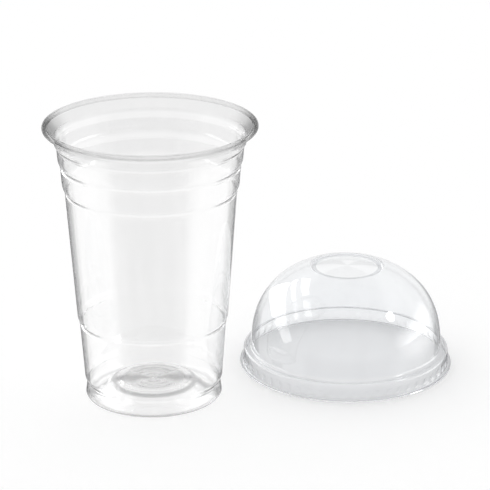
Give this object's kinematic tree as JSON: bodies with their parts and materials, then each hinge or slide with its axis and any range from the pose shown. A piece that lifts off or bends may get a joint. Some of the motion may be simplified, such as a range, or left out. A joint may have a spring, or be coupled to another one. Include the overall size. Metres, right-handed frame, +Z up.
{
  "type": "plastic cup with lid",
  "caption": "Clear tapered drinks cup with a rolled rim, stacking bands and a pushed-up base, and its clear dome lid with a straw hole, lying beside it.",
  "frame": {"origin": "under the middle of the box round the cup and the lid, on the surface that both stand on", "axes": "+Z up along the cup's axis, +X from the cup's side towards the lid's side, +Y away from the viewer"},
  "size_m": [0.1915, 0.137, 0.1321],
  "materials": {
    "cup_plastic": "clear, smooth and glossy",
    "lid_plastic": "clear, smooth and glossy"
  },
  "bodies": {
    "root": {"cup": "cup_plastic", "dome_lid": "lid_plastic"}
  },
  "joints": []
}
